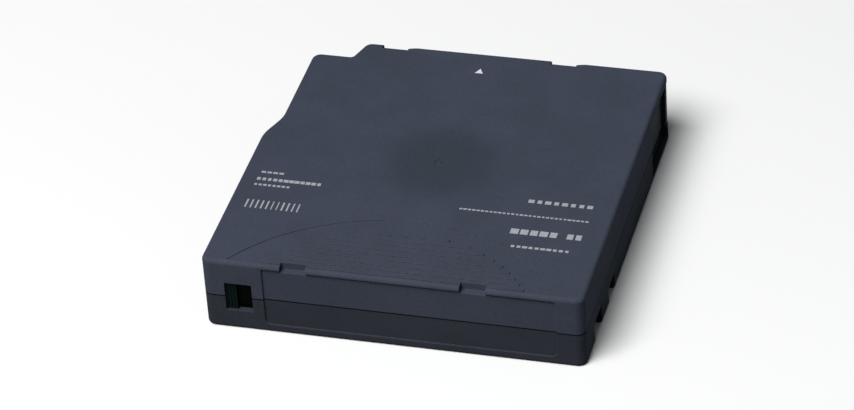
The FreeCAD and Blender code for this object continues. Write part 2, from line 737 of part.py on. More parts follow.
def upper_shell():
    """The cover half: top, walls, brake key, bosses, grip and pockets."""
    z = (PARTING_HEIGHT, CEILING)
    high = case_blank().common(block((-FAR, FAR), (-FAR, FAR), (PARTING_HEIGHT, FAR)))
    cavity = case_cavity((PARTING_HEIGHT - 1, CEILING))
    well_wall = reel_well_wall(z).cut(tape_exit(z))
    ribs = [well_wall]
    ribs += [drum(BOSS_RADIUS, z, point) for point in SCREW_POINTS]
    ribs += rails((CEILING - RAIL_HEIGHT, CEILING))
    ribs += [pin_pocket((CEILING - PIN_POCKET_HEIGHT, CEILING))]
    ribs += [pin_spring_post((PIN_BODY_TOP, CEILING))]
    ribs += [pocket_backing(x, -1, POCKET_SINK) for x in POCKET_CENTRES]
    ribs += [pocket_backing(x, 1, REAR_POCKET_SINK) for x in POCKET_CENTRES]
    inside = slab(case_corners(SIDE_WALL / 2), (PARTING_HEIGHT, CEILING + TOP_WALL / 2))
    ribs = [rib.common(inside) for rib in ribs]
    shell = fuse([high.cut(cavity)] + ribs)
    keep_clear = (PARTING_HEIGHT, CEILING)
    shell = shell.cut([drum(WELL_RADIUS, keep_clear), door_channel(keep_clear)])
    slider_wall = slider_rail(PLATE_LEFT, (FLOOR + SLIDER_RAIL_HEIGHT + KNOB_GAP, CEILING + TOP_WALL / 2))
    shell = fuse([shell, brake_key(), slider_wall])
    cuts = [seam(), window_opening(), label_recess(), grip_area(), gate_mark()]
    cuts.append(lip_band(LIP_THICKNESS + LIP_GAP, (PARTING_HEIGHT - 1, PARTING_HEIGHT + LIP_HEIGHT + LIP_GAP)))
    cuts += door_opening()
    cuts += [edge_pocket(x, -1, POCKET_SINK) for x in POCKET_CENTRES]
    cuts += [edge_pocket(x, 1, REAR_POCKET_SINK) for x in POCKET_CENTRES]
    cuts += [pocket_ramp(x) for x in POCKET_CENTRES]
    pilot = (PARTING_HEIGHT - 1, PARTING_HEIGHT + SCREW_BITE + 1)
    cuts += [drum(SCREW_RADIUS + FIT_GAP, pilot, point) for point in SCREW_POINTS]
    return shell.cut(cuts)


def brake_key():
    """The crossed rib and spring collar that hang from the middle of the cover."""
    top = CEILING + TOP_WALL / 2
    half = KEY_THICKNESS / 2
    bars = [block((-KEY_HALF_LENGTH, KEY_HALF_LENGTH), (-half, half), (KEY_BASE, top)),
            block((-half, half), (-KEY_HALF_LENGTH, KEY_HALF_LENGTH), (KEY_BASE, top))]
    inner = BRAKE_SPRING_RADIUS + BRAKE_SPRING_WIRE + SPRING_COLLAR_WALL / 2
    collar = tube(inner, inner + SPRING_COLLAR_WALL, (CEILING - SPRING_COLLAR_DROP, top))
    return fuse(bars).fuse(collar)


def screws():
    """Four flat-headed screws, driven from below into the cover's bosses."""
    solids = []
    head_top = SCREW_HEAD_SINK + SCREW_HEAD_HEIGHT
    tip = PARTING_HEIGHT + SCREW_BITE
    slot = [block((-DRIVE_RECESS_LENGTH / 2, DRIVE_RECESS_LENGTH / 2),
                  (-DRIVE_RECESS_WIDTH / 2, DRIVE_RECESS_WIDTH / 2),
                  (0, SCREW_HEAD_SINK + DRIVE_RECESS_DEPTH))]
    slot.append(turned_about_z(slot[0], 90))
    profile = [(0, SCREW_HEAD_SINK), (SCREW_HEAD_RADIUS, SCREW_HEAD_SINK),
               (SCREW_HEAD_RADIUS, head_top), (SCREW_RADIUS, head_top),
               (SCREW_RADIUS, tip - SCREW_RADIUS), (SCREW_RADIUS / 3, tip), (0, tip)]
    screw = turned(profile).cut(slot)
    for x, y in SCREW_POINTS:
        solids.append(moved(screw, x, y))
    return Part.makeCompound(solids)


# --- reel ------------------------------------------------------------------
def face_tooth(inner, outer, root, tip):
    """One straight tooth of a face gear, lying along +X."""
    points = [V(0, -TOOTH_ROOT_HALF, root), V(0, TOOTH_ROOT_HALF, root),
              V(0, TOOTH_TIP_HALF, tip), V(0, -TOOTH_TIP_HALF, tip)]
    face = Part.Face(Part.makePolygon(points + points[:1]))
    return moved(face.extrude(V(outer - inner, 0, 0)), x=inner)


def leg_holes(clearance, z):
    """Square holes, or legs, through the gear ring."""
    half = LEG_WIDTH / 2 + clearance
    leg = block((LEG_CENTRE - half, LEG_CENTRE + half), (-half, half), z)
    return ring_of(leg, RELEASE_LEGS)


def reel_hub():
    """Hub with its lower flange, the drive's gear below and the brake's inside."""
    flange_top = REEL_BASE + FLANGE_THICKNESS
    gear_root = REEL_BASE - DRIVE_GEAR_DROP
    pedestal = HUB_FLOOR_TOP + BRAKE_GEAR_RISE
    spigot_top = UPPER_FLANGE_BASE + HUB_SPIGOT_HEIGHT
    body = turned([
        (0, REEL_BASE), (DRIVE_GEAR_INNER, REEL_BASE), (DRIVE_GEAR_INNER, gear_root),
        (DRIVE_GEAR_OUTER, gear_root), (DRIVE_GEAR_OUTER, REEL_BASE),
        (FLANGE_RADIUS, REEL_BASE), (FLANGE_RADIUS, flange_top - FLANGE_TAPER),
        (HUB_RADIUS, flange_top), (HUB_RADIUS, UPPER_FLANGE_BASE),
        (HUB_INNER + HUB_SPIGOT_WALL, UPPER_FLANGE_BASE), (HUB_INNER + HUB_SPIGOT_WALL, spigot_top),
        (HUB_INNER, spigot_top), (HUB_INNER, HUB_FLOOR_TOP),
        (BRAKE_GEAR_OUTER + FIT_GAP, HUB_FLOOR_TOP), (BRAKE_GEAR_OUTER + FIT_GAP, pedestal),
        (BRAKE_GEAR_INNER, pedestal), (BRAKE_GEAR_INNER, HUB_FLOOR_TOP), (0, HUB_FLOOR_TOP),
    ])
    drive_tooth = face_tooth(DRIVE_GEAR_INNER, DRIVE_GEAR_OUTER, gear_root + FIT_GAP,
                             gear_root - TOOTH_HEIGHT)
    brake_tooth = face_tooth(BRAKE_GEAR_INNER, BRAKE_GEAR_OUTER, pedestal - FIT_GAP,
                             pedestal + TOOTH_HEIGHT)
    trim = tube(DRIVE_GEAR_INNER, DRIVE_GEAR_OUTER, (gear_root - TOOTH_HEIGHT, gear_root + FIT_GAP))
    drive_teeth = [tooth.common(trim) for tooth in ring_of(drive_tooth, GEAR_TEETH)]
    spigot = drum(PLATE_BORE - FIT_GAP, (REEL_BASE - PLATE_SPIGOT_DROP, REEL_BASE + FIT_GAP))
    hub = body.fuse(drive_teeth + ring_of(brake_tooth, GEAR_TEETH) + [spigot])
    return hub.cut(leg_holes(LEG_CLEARANCE, (0, HUB_FLOOR_TOP + FIT_GAP)))


def upper_flange():
    """The reel's top flange, seated on the hub's spigot."""
    inner = HUB_INNER + HUB_SPIGOT_WALL + FIT_GAP
    top = UPPER_FLANGE_BASE + UPPER_FLANGE_THICKNESS
    return turned([
        (inner, UPPER_FLANGE_BASE), (HUB_RADIUS, UPPER_FLANGE_BASE),
        (FLANGE_RADIUS, UPPER_FLANGE_BASE + FLANGE_TAPER), (FLANGE_RADIUS, top),
        (inner, top),
    ])


def tape_pack():
    """The wound tape."""
    return tube(HUB_RADIUS + FIT_GAP, PACK_RADIUS, (TAPE_BASE, TAPE_TOP))


def reel_plate():
    """The steel plate under the hub."""
    return tube(PLATE_BORE, PLATE_OUTER, (REEL_BASE - PLATE_THICKNESS, REEL_BASE))


# --- brake -------------------------------------------------------------------
def brake_button():
    """Toothed brake disc with the slotted hub that slides on the cover's key."""
    ring_inner = BRAKE_GEAR_INNER - TOOTH_TIP_GAP
    hub_top = BRAKE_WEB_TOP + BRAKE_HUB_HEIGHT
    disc = turned([
        (0, BRAKE_WEB_BASE - BRAKE_PAD_DROP), (BRAKE_PAD_RADIUS, BRAKE_WEB_BASE - BRAKE_PAD_DROP),
        (BRAKE_PAD_RADIUS, BRAKE_WEB_BASE), (BRAKE_GEAR_OUTER, BRAKE_WEB_BASE),
        (BRAKE_GEAR_OUTER, BRAKE_WEB_TOP), (BRAKE_HUB_RADIUS, BRAKE_WEB_TOP),
        (BRAKE_HUB_RADIUS, hub_top), (0, hub_top),
    ])
    tooth = face_tooth(BRAKE_GEAR_INNER, BRAKE_GEAR_OUTER, BRAKE_WEB_BASE + FIT_GAP, BRAKE_TOOTH_TIP)
    tooth = turned_about_z(tooth, 180.0 / GEAR_TEETH)
    trim = tube(ring_inner, BRAKE_GEAR_OUTER, (BRAKE_TOOTH_TIP, BRAKE_WEB_TOP))
    teeth = [one.common(trim) for one in ring_of(tooth, GEAR_TEETH)]
    half = KEY_THICKNESS / 2 + KEY_CLEARANCE
    reach = KEY_HALF_LENGTH + KEY_CLEARANCE
    z = (BRAKE_WEB_TOP, hub_top + 1)
    slots = [block((-reach, reach), (-half, half), z), block((-half, half), (-reach, reach), z)]
    return disc.fuse(teeth).cut(slots)


def release_base():
    """Height of the release spider's underside."""
    return HUB_FLOOR_TOP + RELEASE_FLOOR_GAP


def release_spider():
    """Three-legged spider that a drive's gear lifts to free the brake."""
    base = release_base()
    top = base + RELEASE_THICKNESS
    tip = REEL_BASE - DRIVE_GEAR_DROP - TOOTH_HEIGHT + LEG_TIP_SINK
    centre = turned([
        (0, base), (RELEASE_HUB_RADIUS, base), (RELEASE_HUB_RADIUS, top),
        (BRAKE_PAD_RADIUS, top), (BRAKE_PAD_RADIUS / 2, top + RELEASE_DOME), (0, top + RELEASE_DOME),
    ])
    half = LEG_WIDTH / 2
    arm = block((0, LEG_CENTRE + half), (-half, half), (base, top))
    return fuse([centre] + ring_of(arm, RELEASE_LEGS) + leg_holes(0.0, (tip, base + FIT_GAP)))


def brake_spring():
    """The coil spring between the brake and the cover."""
    length = CEILING - BRAKE_WEB_TOP
    spring = coil(BRAKE_SPRING_RADIUS, BRAKE_SPRING_WIRE, BRAKE_SPRING_COILS, length)
    return moved(spring, z=BRAKE_WEB_TOP)


# --- door --------------------------------------------------------------------
def access_door():
    """The sliding door, with a set-back skirt and the nose that a drive pushes."""
    skirt_top = DOOR_BASE + DOOR_SKIRT_HEIGHT
    y = (DOOR_REAR, DOOR_FRONT)
    panel = block((DOOR_INNER, DOOR_OUTER), y, (skirt_top, DOOR_TOP))
    skirt = block((DOOR_INNER, DOOR_OUTER - DOOR_SKIRT_SET_BACK), y, (DOOR_BASE, skirt_top))
    nose = block((DOOR_OUTER - DOOR_THICKNESS / 2, DOOR_OUTER + DOOR_NOSE_REACH),
                 (DOOR_FRONT - DOOR_NOSE_LENGTH, DOOR_FRONT),
                 (CORNER_POST_HEIGHT + DOOR_NOSE_END_GAP, OPENING_TOP - DOOR_NOSE_END_GAP))
    return fuse([panel, skirt, nose])


def door_spring():
    """The long thin spring that closes the door, lying in the side channel."""
    length = DOOR_SPRING_LENGTH - 2 * FIT_GAP
    spring = coil(DOOR_SPRING_RADIUS, DOOR_SPRING_WIRE, DOOR_SPRING_COILS, length)
    spring.rotate(V(0, 0, 0), V(1, 0, 0), -90)
    return moved(spring, SPRING_X, SPRING_SEAT + FIT_GAP, DOOR_SPRING_HEIGHT)


# --- leader pin ----------------------------------------------------------------
def leader_pin():
    """The turned steel pin on the end of the tape."""
    heights = [PIN_BASE]
    for step in (PIN_HEAD_HEIGHT, PIN_NECK_HEIGHT, PIN_COLLAR_HEIGHT, PIN_BODY_TOP - PIN_BODY_BASE,
                 PIN_COLLAR_HEIGHT, PIN_NECK_HEIGHT, PIN_HEAD_HEIGHT):
        heights.append(heights[-1] + step)
    radii = (PIN_COLLAR_RADIUS, PIN_NECK_RADIUS, PIN_COLLAR_RADIUS, PIN_BODY_RADIUS,
             PIN_COLLAR_RADIUS, PIN_NECK_RADIUS, PIN_COLLAR_RADIUS)
    profile = [(0, heights[0])]
    for i, radius in enumerate(radii):
        profile += [(radius, heights[i]), (radius, heights[i + 1])]
    profile.append((0, heights[-1]))
    return moved(turned(profile), PIN_X, PIN_Y)


def leader_line():
    """Start and end of the tape's free run, in plan, clear of the wound tape."""
    distance = math.hypot(PIN_X, PIN_Y)
    clear = PACK_RADIUS + LEADER_PACK_GAP + LEADER_THICKNESS
    swing = math.acos((clear - PIN_BODY_RADIUS - CLAMP_WALL) / distance)
    angle = math.atan2(PIN_Y, PIN_X) - swing
    normal = V(math.cos(angle), math.sin(angle), 0)
    start = normal * clear
    end = V(PIN_X, PIN_Y, 0) + normal * (PIN_BODY_RADIUS + CLAMP_WALL)
    return start, end, normal


def tape_leader():
    """The tape's free run from the reel to its pin."""
    start, end, normal = leader_line()
    inner = normal * LEADER_THICKNESS
    points = [start, end + normal * CLAMP_GAP, end + normal * CLAMP_GAP - inner, start - inner]
    points = [V(p.x, p.y, TAPE_BASE) for p in points]
    face = Part.Face(Part.makePolygon(points + points[:1]))
    return face.extrude(V(0, 0, TAPE_WIDTH)).cut(tape_clamp())


def tape_clamp():
    """The plastic clip that grips the tape on the pin."""
    inner = PIN_BODY_RADIUS + CLAMP_GAP
    z = (PIN_BODY_BASE + CLAMP_END_GAP, PIN_BODY_TOP - CLAMP_END_GAP)
    clip = tube(inner, inner + CLAMP_WALL, z, (PIN_X, PIN_Y))
    mouth = block((PIN_X - FAR, PIN_X), (PIN_Y - PIN_BODY_RADIUS / 2, PIN_Y + PIN_BODY_RADIUS / 2), z)
    return clip.cut(mouth)


def pin_spring(base):
    """A flat spring from its post to the pin's neck, hooked across the pocket's mouth."""
    anchor = pin_spring_anchor()
    z = (base, base + PIN_SPRING_HEIGHT)
    loop = tube(PIN_SPRING_LOOP - PIN_SPRING_THICKNESS, PIN_SPRING_LOOP, z, anchor)
    loop = loop.cut(block((anchor[0], anchor[0] + FAR), (anchor[1], anchor[1] + FAR), z))
    arm_y = anchor[1] + PIN_SPRING_LOOP
    arm = block((anchor[0], PIN_X), (arm_y - PIN_SPRING_THICKNESS, arm_y), z)
    hook = tube(PIN_SPRING_REACH, PIN_SPRING_REACH + PIN_SPRING_THICKNESS, z, (PIN_X, PIN_Y))
    hook = hook.common(block((PIN_X, FAR), (0, PIN_Y), z))
    return fuse([loop, arm, hook])


# --- write-protect slider and memory ---------------------------------------------
def write_protect_slider():
    """The slider: knob in the window, plate behind the wall, foot over the sense hole."""
    knob_z = (WINDOW_BASE + KNOB_GAP, WINDOW_TOP - KNOB_GAP)
    knob_front = LABEL_END + KNOB_SET_BACK
    knob = block((KNOB_LEFT, KNOB_RIGHT), (knob_front, SLIDER_BACK), knob_z)
    plate = block((PLATE_LEFT, PLATE_RIGHT), (SLIDER_FRONT, SLIDER_BACK),
                  (FLOOR + SLIDER_FLOOR_GAP, WINDOW_TOP + SLIDER_PLATE_MARGIN))
    foot = block((PLATE_LEFT, PLATE_LEFT + SLIDER_TRAVEL), (SLIDER_FRONT, SLIDER_FRONT + SLIDER_FOOT_REACH),
                 (FLOOR + SLIDER_FLOOR_GAP, FLOOR + SLIDER_FLOOR_GAP + SLIDER_FOOT_THICKNESS))
    pitch = KNOB_WIDTH / (2 * SLIDER_RIB_COUNT + 1)
    grooves = [block((KNOB_LEFT + (2 * i + 1) * pitch, KNOB_LEFT + (2 * i + 2) * pitch),
                     (knob_front, knob_front + SLIDER_RIB_DEPTH), knob_z)
               for i in range(SLIDER_RIB_COUNT)]
    return fuse([knob, plate, foot]).cut(grooves)


def memory_board():
    """The memory's circuit board, leaning in the corner by the label."""
    board = block((0, BOARD_LENGTH), (-BOARD_WIDTH, 0), (0, BOARD_THICKNESS))
    return board_place(board)


def memory_chip():
    """The sealed chip on the inner face of the board."""
    x = (BOARD_LENGTH - CHIP_LENGTH) / 2
    y = (BOARD_WIDTH - CHIP_WIDTH) / 2
    chip = block((x, x + CHIP_LENGTH), (-BOARD_WIDTH + y, -y),
                 (BOARD_THICKNESS, BOARD_THICKNESS + CHIP_THICKNESS))
    return board_place(chip)


PARTS = {
    "lower_shell": lower_shell,
    "upper_shell": upper_shell,
    "case_screws": screws,
    "reel_hub": reel_hub,
    "upper_flange": upper_flange,
    "tape_pack": tape_pack,
    "reel_plate": reel_plate,
    "brake_button": brake_button,
    "brake_spring": brake_spring,
    "release_spider": release_spider,
    "access_door": access_door,
    "door_spring": door_spring,
    "leader_pin": leader_pin,
    "tape_clamp": tape_clamp,
    "tape_leader": tape_leader,
    "lower_pin_spring": lambda: pin_spring(PIN_BASE + PIN_HEAD_HEIGHT + CLAMP_GAP),
    "upper_pin_spring": lambda: pin_spring(PIN_TOP - PIN_HEAD_HEIGHT - PIN_SPRING_HEIGHT - CLAMP_GAP),
    "write_protect_slider": write_protect_slider,
    "memory_board": memory_board,
    "memory_chip": memory_chip,
}


def main():
    """Build every piece and write it to parts/."""
    os.makedirs("parts", exist_ok=True)
    for name, make in PARTS.items():
        shape = make()
        shape.exportStep("parts/" + name + ".step")
        box = shape.BoundBox
        print("%-22s solids %d valid %s volume %9.2f  x %.2f..%.2f y %.2f..%.2f z %.2f..%.2f" % (
            name, len(shape.Solids), shape.isValid(), shape.Volume,
            box.XMin, box.XMax, box.YMin, box.YMax, box.ZMin, box.ZMax))


main()
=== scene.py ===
"""Looks of a half-inch data tape cartridge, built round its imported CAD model.

Everything is in metres and in the CAD model's frame: +X runs right along the label end,
+Y is the way the cartridge goes into a drive, +Z is up, and the origin lies on the reel's
axis at the underside of the case.
"""
import json
import logging
import math
from dataclasses import dataclass
from enum import Enum
from typing import Any, Sequence

import bmesh
import bpy
from mathutils import Matrix, Vector


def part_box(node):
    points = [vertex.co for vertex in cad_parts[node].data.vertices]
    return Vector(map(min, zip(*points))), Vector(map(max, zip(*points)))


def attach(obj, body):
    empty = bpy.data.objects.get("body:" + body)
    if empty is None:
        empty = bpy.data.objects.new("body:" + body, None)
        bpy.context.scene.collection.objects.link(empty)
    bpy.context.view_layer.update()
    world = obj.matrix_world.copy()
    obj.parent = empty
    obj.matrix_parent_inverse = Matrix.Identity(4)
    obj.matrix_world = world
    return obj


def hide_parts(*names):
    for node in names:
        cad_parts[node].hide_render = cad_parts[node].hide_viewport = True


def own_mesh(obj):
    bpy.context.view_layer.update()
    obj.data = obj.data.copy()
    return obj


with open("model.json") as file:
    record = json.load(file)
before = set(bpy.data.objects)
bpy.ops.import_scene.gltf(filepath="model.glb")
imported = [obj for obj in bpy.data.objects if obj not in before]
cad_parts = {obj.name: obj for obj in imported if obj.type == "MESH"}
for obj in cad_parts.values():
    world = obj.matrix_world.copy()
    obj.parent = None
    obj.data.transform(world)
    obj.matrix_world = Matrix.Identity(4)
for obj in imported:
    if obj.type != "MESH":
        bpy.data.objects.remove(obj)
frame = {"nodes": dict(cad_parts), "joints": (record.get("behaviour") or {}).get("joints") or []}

log = logging.getLogger("cartridge")

MM = 0.001
CASE_BODY = "case"
WHITE = (1.0, 1.0, 1.0)
BLACK = (0.0, 0.0, 0.0)
ACROSS_THE_AXIS = (1, 1, 0)
Colour = tuple[float, float, float]


class Lay(Enum):
    """Which way the fine marks of a metal surface run."""

    ROUND_THE_AXIS = "round the axis"
    NONE = "none"


# --- node trees -----------------------------------------------------------------
class Signal:
    """A socket's value, on which Python arithmetic adds Math nodes."""

    def __init__(self, graph: "Graph", socket: bpy.types.NodeSocket) -> None:
        """Wrap one output socket.

        Args:
            graph: the tree that the socket is in.
            socket: the output to read.
        """
        self.graph = graph
        self.socket = socket

    def math(self, operation: str, *operands: Any) -> "Signal":
        """Add a Math node.

        Args:
            operation: the node's operation.
            operands: its inputs, in order.

        Returns:
            The node's result.
        """
        inputs = dict(enumerate(operands))
        return self.graph.node("ShaderNodeMath", {"operation": operation}, inputs)

    def output(self, name: str) -> "Signal":
        """Another output of the same node."""
        return Signal(self.graph, self.socket.node.outputs[name])

    def __add__(self, other: Any) -> "Signal":
        """self + other."""
        return self.math("ADD", self, other)

    def __radd__(self, other: Any) -> "Signal":
        """other + self."""
        return self.math("ADD", other, self)

    def __sub__(self, other: Any) -> "Signal":
        """self - other."""
        return self.math("SUBTRACT", self, other)

    def __rsub__(self, other: Any) -> "Signal":
        """other - self."""
        return self.math("SUBTRACT", other, self)

    def __mul__(self, other: Any) -> "Signal":
        """self * other."""
        return self.math("MULTIPLY", self, other)

    def __rmul__(self, other: Any) -> "Signal":
        """other * self."""
        return self.math("MULTIPLY", other, self)

    def __truediv__(self, other: Any) -> "Signal":
        """self / other."""
        return self.math("DIVIDE", self, other)

    def clamped(self) -> "Signal":
        """The value held between 0 and 1."""
        return self.math("MINIMUM", self.math("MAXIMUM", self, 0.0), 1.0)

    def fade(self, start: float, end: float) -> "Signal":
        """A smooth step that is 0 at start and 1 at end.

        Args:
            start: the value where the step begins.
            end: the value where it is complete.

        Returns:
            The step, between 0 and 1.
        """
        share = ((self - start) / (end - start)).clamped()
        return share * share * (3.0 - 2.0 * share)


class Graph:
    """Adds nodes to one shader or geometry tree."""

    def __init__(self, tree: bpy.types.NodeTree) -> None:
        """Take over a tree and empty it.

        Args:
            tree: the tree to fill.
        """
        self.tree = tree
        tree.nodes.clear()

    def node(
        self,
        kind: str,
        settings: dict[str, Any] | None = None,
        inputs: dict[Any, Any] | None = None,
        output: Any = 0,
    ) -> Signal:
        """Add a node, set it and link it.

        Args:
            kind: the node's type.
            settings: the node's own properties.
            inputs: values or signals, by socket name or number.
            output: the name or number of the output to return.

        Returns:
            The chosen output.
        """
        made = self.tree.nodes.new(kind)
        for name, value in (settings or {}).items():
            setattr(made, name, value)
        for key, value in (inputs or {}).items():
            if isinstance(value, Signal):
                self.tree.links.new(value.socket, made.inputs[key])
            else:
                made.inputs[key].default_value = value
        if not made.outputs:
            return Signal(self, None)
        return Signal(self, made.outputs[output])

    def place(self) -> Signal:
        """The shaded point in the object's own coordinates."""
        return self.node("ShaderNodeTexCoord", output="Object")

    def noise(self, place: Signal, size: float, detail: float = 2.0) -> Signal:
        """Soft noise between 0 and 1.

        Args:
            place: where to read it.
            size: the width of one patch, in metres.
            detail: how many finer layers are added.

        Returns:
            The noise.
        """
        inputs = {"Vector": place, "Scale": 1.0 / size, "Detail": detail, "Roughness": 0.55}
        return self.node("ShaderNodeTexNoise", None, inputs)

    def mix(self, share: Any, first: Any, second: Any) -> Signal:
        """Blend two colours.

        Args:
            share: 0 gives the first colour, 1 the second.
            first: a colour or a signal.
            second: a colour or a signal.

        Returns:
            The blended colour.
        """
        ends = [c if isinstance(c, Signal) else (*c, 1.0) for c in (first, second)]
        inputs = {0: share, 6: ends[0], 7: ends[1]}
        return self.node("ShaderNodeMix", {"data_type": "RGBA"}, inputs, output=2)

    def reach(self, place: Signal, weights: Sequence[float]) -> Signal:
        """The distance from the origin, with each axis weighted.

        Args:
            place: the point.
            weights: how much each axis counts.

        Returns:
            The distance.
        """
        scaled = self.node(
            "ShaderNodeVectorMath", {"operation": "MULTIPLY"}, {0: place, 1: weights})
        return self.node("ShaderNodeVectorMath", {"operation": "LENGTH"}, {0: scaled}, "Value")

    def bump(
        self,
        height: Signal,
        distance: float,
        strength: float = 1.0,
        under: Signal | None = None,
    ) -> Signal:
        """A Bump node.

        Args:
            height: the height field, between 0 and 1.
            distance: the height in metres that 1 stands for.
            strength: how much of it shows.
            under: the normal to start from.

        Returns:
            The bent normal.
        """
        inputs: dict[str, Any] = {"Height": height, "Distance": distance, "Strength": strength}
        if under is not None:
            inputs["Normal"] = under
        return self.node("ShaderNodeBump", None, inputs)


# --- finishes -------------------------------------------------------------------
def shade(colour: Colour, factor: float) -> Colour:
    """A colour made lighter or darker.

    Args:
        colour: linear red, green and blue.
        factor: what each is multiplied by.

    Returns:
        The new colour.
    """
    return tuple(channel * factor for channel in colour)


@dataclass(frozen=True)
class Finish:
    """What every finish has: a name, a base colour and a roughness."""

    name: str
    colour: Colour
    roughness: float

    def material(self) -> bpy.types.Material:
        """The finish's material, made on first use."""
        found = bpy.data.materials.get(self.name)
        if found:
            return found
        made = bpy.data.materials.new(self.name)
        made.use_nodes = True
        graph = Graph(made.node_tree)
        shader = graph.node("ShaderNodeBsdfPrincipled", None, self.sockets(graph))
        graph.node("ShaderNodeOutputMaterial", None, {"Surface": shader})
        return made

    def sockets(self, graph: Graph) -> dict[str, Any]:
        """Values and links for the Principled shader.

        Args:
            graph: the material's tree.

        Returns:
            Socket names and what feeds them.
        """
        return {"Base Color": (*self.colour, 1.0), "Roughness": self.roughness}

    def on(self, piece: bpy.types.Object) -> bpy.types.Object:
        """Give a piece this finish all over.

        Args:
            piece: a mesh object.

        Returns:
            The same piece.
        """
        piece.data.materials.clear()
        piece.data.materials.append(self.material())
        return piece


@dataclass(frozen=True)
class MouldedPlastic(Finish):
    """Injection-moulded plastic, with the mould's eroded grain and slightly soft edges."""

    grain: float = 0.22 * MM
    depth: float = 0.006 * MM
    mottle: float = 0.05
    edge: float = 0.10 * MM
    wear: float = 0.22
    gloss: float = 0.5
    # How far the painted shade in the grain's pits darkens the colour towards black.
    pit_painted_shade: float = 0.35
    worn_colour: Colour = (0.45, 0.47, 0.50)

    def tint(self, graph: Graph, place: Signal) -> Signal:
        """The colour, with the faint clouds of a moulding.

        Args:
            graph: the material's tree.
            place: the shaded point.

        Returns:
            The colour.
        """
        clouds = graph.noise(place, 14 * MM).fade(0.3, 0.7)
        dark, pale = shade(self.colour, 1 - self.mottle), shade(self.colour, 1 + self.mottle)
        return graph.mix(clouds, dark, pale)

    def sockets(self, graph: Graph) -> dict[str, Any]:
        """Grain in roughness and normal, painted shade in the grain's pits, and a rubbed look
        along the edges.
        """
        place = graph.place()
        grain = graph.noise(place, self.grain, 3.0)
        tint = self.tint(graph, place)
        # Painted shade: the grain's pits are darkened towards black.
        pits = grain.fade(0.32, 0.52)
        colour = graph.mix(pits, graph.mix(self.pit_painted_shade, tint, BLACK), tint)
        soft = graph.node("ShaderNodeBevel", {"samples": 6}, {"Radius": self.edge})
        flat = graph.node("ShaderNodeNewGeometry", output="Normal")
        facing = graph.node(
            "ShaderNodeVectorMath", {"operation": "DOT_PRODUCT"}, {0: soft, 1: flat}, "Value")
        rubbed = (1.0 - facing).fade(0.02, 0.2) * graph.noise(place, 1.5 * MM).fade(0.25, 0.6)
        return {
            "Base Color": graph.mix(rubbed * self.wear, colour, self.worn_colour),
            "Roughness": self.roughness + (grain - 0.5) * 0.16 - rubbed * 0.1,
            "IOR": 1.49,
            "Specular IOR Level": self.gloss,
            "Normal": graph.bump(grain, self.depth, 0.6, soft),
        }


@dataclass(frozen=True)
class GreyPatchPlastic(MouldedPlastic):
    """Moulded plastic with a greyer patch round the reel's axis, its edge wandering."""

    grey_patch_radius: float = 21 * MM
    grey_patch_colour: Colour = (0.040, 0.052, 0.070)
    grey_patch_strength: float = 0.9

    def tint(self, graph: Graph, place: Signal) -> Signal:
        """The clouds, greyer towards the reel's axis."""
        clouds = super().tint(graph, place)
        wander = (graph.noise(place, 9 * MM) - 0.5) * 6 * MM
        near = (graph.reach(place, ACROSS_THE_AXIS) + wander).fade(self.grey_patch_radius, 0.35 * self.grey_patch_radius)
        return graph.mix(near * self.grey_patch_strength, clouds, self.grey_patch_colour)


@dataclass(frozen=True)
class ShadePaintedPlastic(MouldedPlastic):
    """Moulded plastic with painted shade past a line: its colour is darkened almost to black
    there, where another piece shades it.
    """

    axis: str = "X"
    line: float = 0.0
    soft_edge: float = 0.4 * MM
    # The share of the colour that the painted shade leaves.
    left: float = 0.12

    def sockets(self, graph: Graph) -> dict[str, Any]:
        """The plastic's own sockets, with painted shade past the line."""
        made = super().sockets(graph)
        along = graph.node("ShaderNodeSeparateXYZ", None, {"Vector": graph.place()}, self.axis)
        # Painted shade: past the line the colour falls to the share that is left.
        past = (along - self.line).fade(0.0, self.soft_edge)
        made["Base Color"] = graph.mix(past, made["Base Color"], shade(self.colour, self.left))
        return made


@dataclass(frozen=True)
class Metal(Finish):
    """Bare metal with fine marks from how it was made."""

    lay: Lay = Lay.NONE
    mark: float = 0.07 * MM

    def sockets(self, graph: Graph) -> dict[str, Any]:
        """Marks in roughness and normal, and a faint cloud in the colour."""
        place = graph.place()
        if self.lay is Lay.ROUND_THE_AXIS:
            rings = graph.reach(place, ACROSS_THE_AXIS)
            lines = graph.node("ShaderNodeTexNoise", {"noise_dimensions": "1D"},
                               {"W": rings, "Scale": 1 / self.mark, "Detail": 3.0})
        else:
            lines = graph.noise(place, 3 * self.mark, 4.0)
        clouds = graph.noise(place, 2.5 * MM).fade(0.35, 0.7)
        return {
            "Base Color": graph.mix(clouds, shade(self.colour, 0.86), self.colour),
            "Metallic": 1.0,
            "Roughness": self.roughness + (lines - 0.5) * 0.18 + clouds * 0.06,
            "Normal": graph.bump(lines, 0.004 * MM, 0.5),
        }


@dataclass(frozen=True)
class WoundFilm(Finish):
    """Magnetic tape seen on the edge of its turns, or on its face."""

    turn: float = 0.06 * MM

    def sockets(self, graph: Graph) -> dict[str, Any]:
        """Rings of slightly different height and tone, one for each few turns."""
        place = graph.place()
        rings = graph.node("ShaderNodeTexNoise", {"noise_dimensions": "1D"},
                           {"W": graph.reach(place, ACROSS_THE_AXIS), "Scale": 1 / self.turn,
                            "Detail": 4.0})
        dark, pale = shade(self.colour, 0.7), shade(self.colour, 1.5)
        return {
            "Base Color": graph.mix(rings.fade(0.35, 0.65), dark, pale),
            "Roughness": self.roughness + (rings - 0.5) * 0.2,
            "Normal": graph.bump(rings, 0.01 * MM, 0.6),
        }


